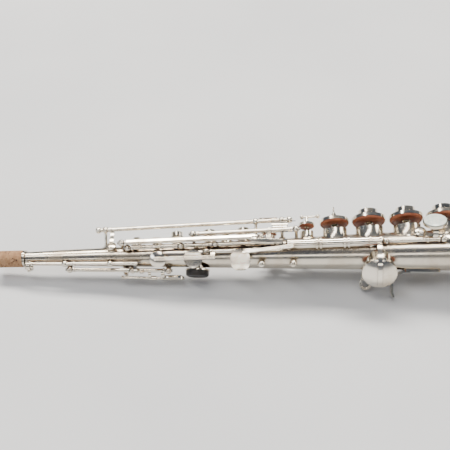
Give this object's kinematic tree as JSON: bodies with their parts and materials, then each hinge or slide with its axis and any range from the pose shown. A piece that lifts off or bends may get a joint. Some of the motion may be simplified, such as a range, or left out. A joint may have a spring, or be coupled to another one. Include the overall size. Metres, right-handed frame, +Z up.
{
  "type": "soprano saxophone",
  "caption": "Straight soprano saxophone: conical silver-plated horn with key stack, side and bell keys, cork, thumb rest, thumb hook and strap ring.",
  "frame": {"origin": "centre of the bore at the mouthpiece end of the neck", "axes": "+X along the bore towards the bell; +Z up as the horn lies rolled on a table, with its key stack up and away (+Y) and its back towards the viewer (-Y)"},
  "size_m": [0.64, 0.0924, 0.0939],
  "materials": {
    "silver_plate": "polished",
    "silver_keys": "polished",
    "rod_steel": "satin",
    "pad_leather": "matte",
    "cork": "matte",
    "hard_rubber": "satin",
    "pearl": "gloss"
  },
  "bodies": {
    "horn": {"body_tube": "silver_plate", "bell": "silver_plate", "ferrules": "silver_plate", "neck_cork": "cork", "tone_hole_chimneys": "silver_plate", "key_posts": "silver_plate", "hinge_rods": "rod_steel", "key_guards": "silver_plate", "thumb_rest_seat": "silver_plate", "thumb_rest_button": "hard_rubber", "thumb_hook": "silver_plate", "strap_ring": "silver_plate"},
    "octave_lever": {"octave_lever": "silver_keys"},
    "neck_octave_key": {"neck_octave_key": "silver_keys", "neck_octave_pad": "pad_leather"},
    "body_octave_key": {"body_octave_key": "silver_keys", "body_octave_pad": "pad_leather"},
    "side_e_key": {"side_e_key": "silver_keys", "side_e_pad": "pad_leather"},
    "side_c_key": {"side_c_key": "silver_keys", "side_c_pad": "pad_leather"},
    "side_bb_key": {"side_bb_key": "silver_keys", "side_bb_pad": "pad_leather"},
    "palm_d_key": {"palm_d_key": "silver_keys", "palm_d_pad": "pad_leather"},
    "b_key": {"b_key": "silver_keys", "b_pads": "pad_leather", "b_pearl": "pearl"},
    "a_key": {"a_key": "silver_keys", "a_pad": "pad_leather", "a_pearl": "pearl"},
    "g_key": {"g_key": "silver_keys", "g_pads": "pad_leather", "g_pearl": "pearl"},
    "back_key": {"back_key": "silver_keys", "back_pad": "pad_leather"},
    "trill_key": {"trill_key": "silver_keys", "trill_pad": "pad_leather", "trill_pearl": "pearl"},
    "f_sharp_key": {"f_sharp_key": "silver_keys", "f_sharp_pads": "pad_leather"},
    "f_key": {"f_key": "silver_keys", "f_pad": "pad_leather", "f_pearl": "pearl"},
    "e_key": {"e_key": "silver_keys", "e_pad": "pad_leather", "e_pearl": "pearl"},
    "d_key": {"d_key": "silver_keys", "d_pad": "pad_leather", "d_pearl": "pearl"},
    "low_eb_key": {"low_eb_key": "silver_keys", "low_eb_pad": "pad_leather"},
    "low_c_key": {"low_c_key": "silver_keys", "low_c_pad": "pad_leather"},
    "low_cs_key": {"low_cs_key": "silver_keys", "low_cs_pad": "pad_leather"},
    "low_b_key": {"low_b_key": "silver_keys", "low_b_pad": "pad_leather"},
    "low_bb_key": {"low_bb_key": "silver_keys", "low_bb_pad": "pad_leather"}
  },
  "joints": [
    {"name": "octave_hinge", "type": "hinge", "parent": "horn", "child": "octave_lever", "pos_m": [0.148, -0.01355, -0.00493], "axis": [0.9995, -0.0294, -0.0107], "range_deg": [0, 7], "stiffness_Nm_per_rad": 0.02, "springref_deg": -28.65},
    {"name": "neck_octave_hinge", "type": "hinge", "parent": "horn", "child": "neck_octave_key", "pos_m": [0.09, -0.01174, 0.00337], "axis": [-0.9995, 0.03, -0.0086], "range_deg": [0, 9], "stiffness_Nm_per_rad": 0.02, "springref_deg": -28.65},
    {"name": "body_octave_hinge", "type": "hinge", "parent": "horn", "child": "body_octave_key", "pos_m": [0.1, -0.01215, -0.00442], "axis": [-0.9995, 0.0294, 0.0107], "range_deg": [0, 8.5], "stiffness_Nm_per_rad": 0.02, "springref_deg": -28.65},
    {"name": "side_e_hinge", "type": "hinge", "parent": "horn", "child": "side_e_key", "pos_m": [0.186, 0.01749, 0.02085], "axis": [-0.9995, -0.0201, -0.0239], "range_deg": [0, 9], "stiffness_Nm_per_rad": 0.02, "springref_deg": -28.65},
    {"name": "side_c_hinge", "type": "hinge", "parent": "horn", "child": "side_c_key", "pos_m": [0.234, 0.00344, 0.02447], "axis": [0.9995, 0.0043, 0.0309], "range_deg": [0, 9], "stiffness_Nm_per_rad": 0.02, "springref_deg": -28.65},
    {"name": "side_bb_hinge", "type": "hinge", "parent": "horn", "child": "side_bb_key", "pos_m": [0.186, -0.00222, 0.0211], "axis": [0.9995, -0.0033, 0.0311], "range_deg": [0, 9], "stiffness_Nm_per_rad": 0.02, "springref_deg": -28.65},
    {"name": "palm_d_hinge", "type": "hinge", "parent": "horn", "child": "palm_d_key", "pos_m": [0.222, -0.0088, 0.01305], "axis": [-0.9995, 0.0175, -0.0259], "range_deg": [0, 9], "stiffness_Nm_per_rad": 0.02, "springref_deg": -28.65},
    {"name": "b_hinge", "type": "hinge", "parent": "horn", "child": "b_key", "pos_m": [0.152, -0.00274, 0.01409], "axis": [0.9995, -0.006, 0.0307], "range_deg": [0, 7], "stiffness_Nm_per_rad": 0.02, "springref_deg": -28.65},
    {"name": "a_hinge", "type": "hinge", "parent": "horn", "child": "a_key", "pos_m": [0.192, -0.00298, 0.01531], "axis": [0.9995, -0.006, 0.0307], "range_deg": [0, 7], "stiffness_Nm_per_rad": 0.02, "springref_deg": -28.65},
    {"name": "g_hinge", "type": "hinge", "parent": "horn", "child": "g_key", "pos_m": [0.236, -0.00324, 0.01666], "axis": [0.9995, -0.006, 0.0307], "range_deg": [0, 7], "stiffness_Nm_per_rad": 0.02, "springref_deg": -28.65},
    {"name": "back_hinge", "type": "hinge", "parent": "horn", "child": "back_key", "pos_m": [0.313, -0.00771, 0.01908], "axis": [0.9995, -0.0117, 0.029], "range_deg": [0, 11], "stiffness_Nm_per_rad": 0.02, "springref_deg": -28.65},
    {"name": "trill_hinge", "type": "hinge", "parent": "horn", "child": "trill_key", "pos_m": [0.381, -0.00851, 0.02105], "axis": [-0.9995, 0.0117, -0.029], "range_deg": [0, 11], "stiffness_Nm_per_rad": 0.02, "springref_deg": -28.65},
    {"name": "f_sharp_hinge", "type": "hinge", "parent": "horn", "child": "f_sharp_key", "pos_m": [0.305, 0.02111, -0.00896], "axis": [0.9995, 0.0288, -0.0122], "range_deg": [0, 11], "stiffness_Nm_per_rad": 0.02, "springref_deg": -28.65},
    {"name": "f_hinge", "type": "hinge", "parent": "horn", "child": "f_key", "pos_m": [0.345, 0.02226, -0.00945], "axis": [0.9995, 0.0288, -0.0122], "range_deg": [0, 11], "stiffness_Nm_per_rad": 0.02, "springref_deg": -28.65},
    {"name": "e_hinge", "type": "hinge", "parent": "horn", "child": "e_key", "pos_m": [0.377, 0.02318, -0.00984], "axis": [0.9995, 0.0288, -0.0122], "range_deg": [0, 11], "stiffness_Nm_per_rad": 0.02, "springref_deg": -28.65},
    {"name": "d_hinge", "type": "hinge", "parent": "horn", "child": "d_key", "pos_m": [0.411, 0.02416, -0.01025], "axis": [0.9995, 0.0288, -0.0122], "range_deg": [0, 11], "stiffness_Nm_per_rad": 0.02, "springref_deg": -28.65},
    {"name": "low_eb_hinge", "type": "hinge", "parent": "horn", "child": "low_eb_key", "pos_m": [0.451, -0.01508, 0.0193], "axis": [-0.9995, 0.0192, -0.0246], "range_deg": [0, 8], "stiffness_Nm_per_rad": 0.02, "springref_deg": -28.65},
    {"name": "low_c_hinge", "type": "hinge", "parent": "horn", "child": "low_c_key", "pos_m": [0.46, -0.00259, 0.02464], "axis": [-0.9995, 0.0033, -0.0311], "range_deg": [0, 8.8], "stiffness_Nm_per_rad": 0.02, "springref_deg": -28.65},
    {"name": "low_cs_hinge", "type": "hinge", "parent": "horn", "child": "low_cs_key", "pos_m": [0.374, 0.0048, -0.02258], "axis": [0.9995, 0.0065, -0.0306], "range_deg": [0, 8], "stiffness_Nm_per_rad": 0.02, "springref_deg": -28.65},
    {"name": "low_b_hinge", "type": "hinge", "parent": "horn", "child": "low_b_key", "pos_m": [0.39, 0.01697, -0.01639], "axis": [0.9995, 0.0225, -0.0217], "range_deg": [0, 8.8], "stiffness_Nm_per_rad": 0.02, "springref_deg": -28.65},
    {"name": "low_bb_hinge", "type": "hinge", "parent": "horn", "child": "low_bb_key", "pos_m": [0.417, 0.01184, -0.02137], "axis": [0.9995, 0.0151, -0.0273], "range_deg": [0, 7.7], "stiffness_Nm_per_rad": 0.02, "springref_deg": -28.65}
  ],
  "couplings": [
    {"joint": "neck_octave_hinge", "follows": "octave_hinge", "ratio": 1.2857},
    {"joint": "f_sharp_hinge", "follows": "f_hinge", "ratio": 1}
  ]
}
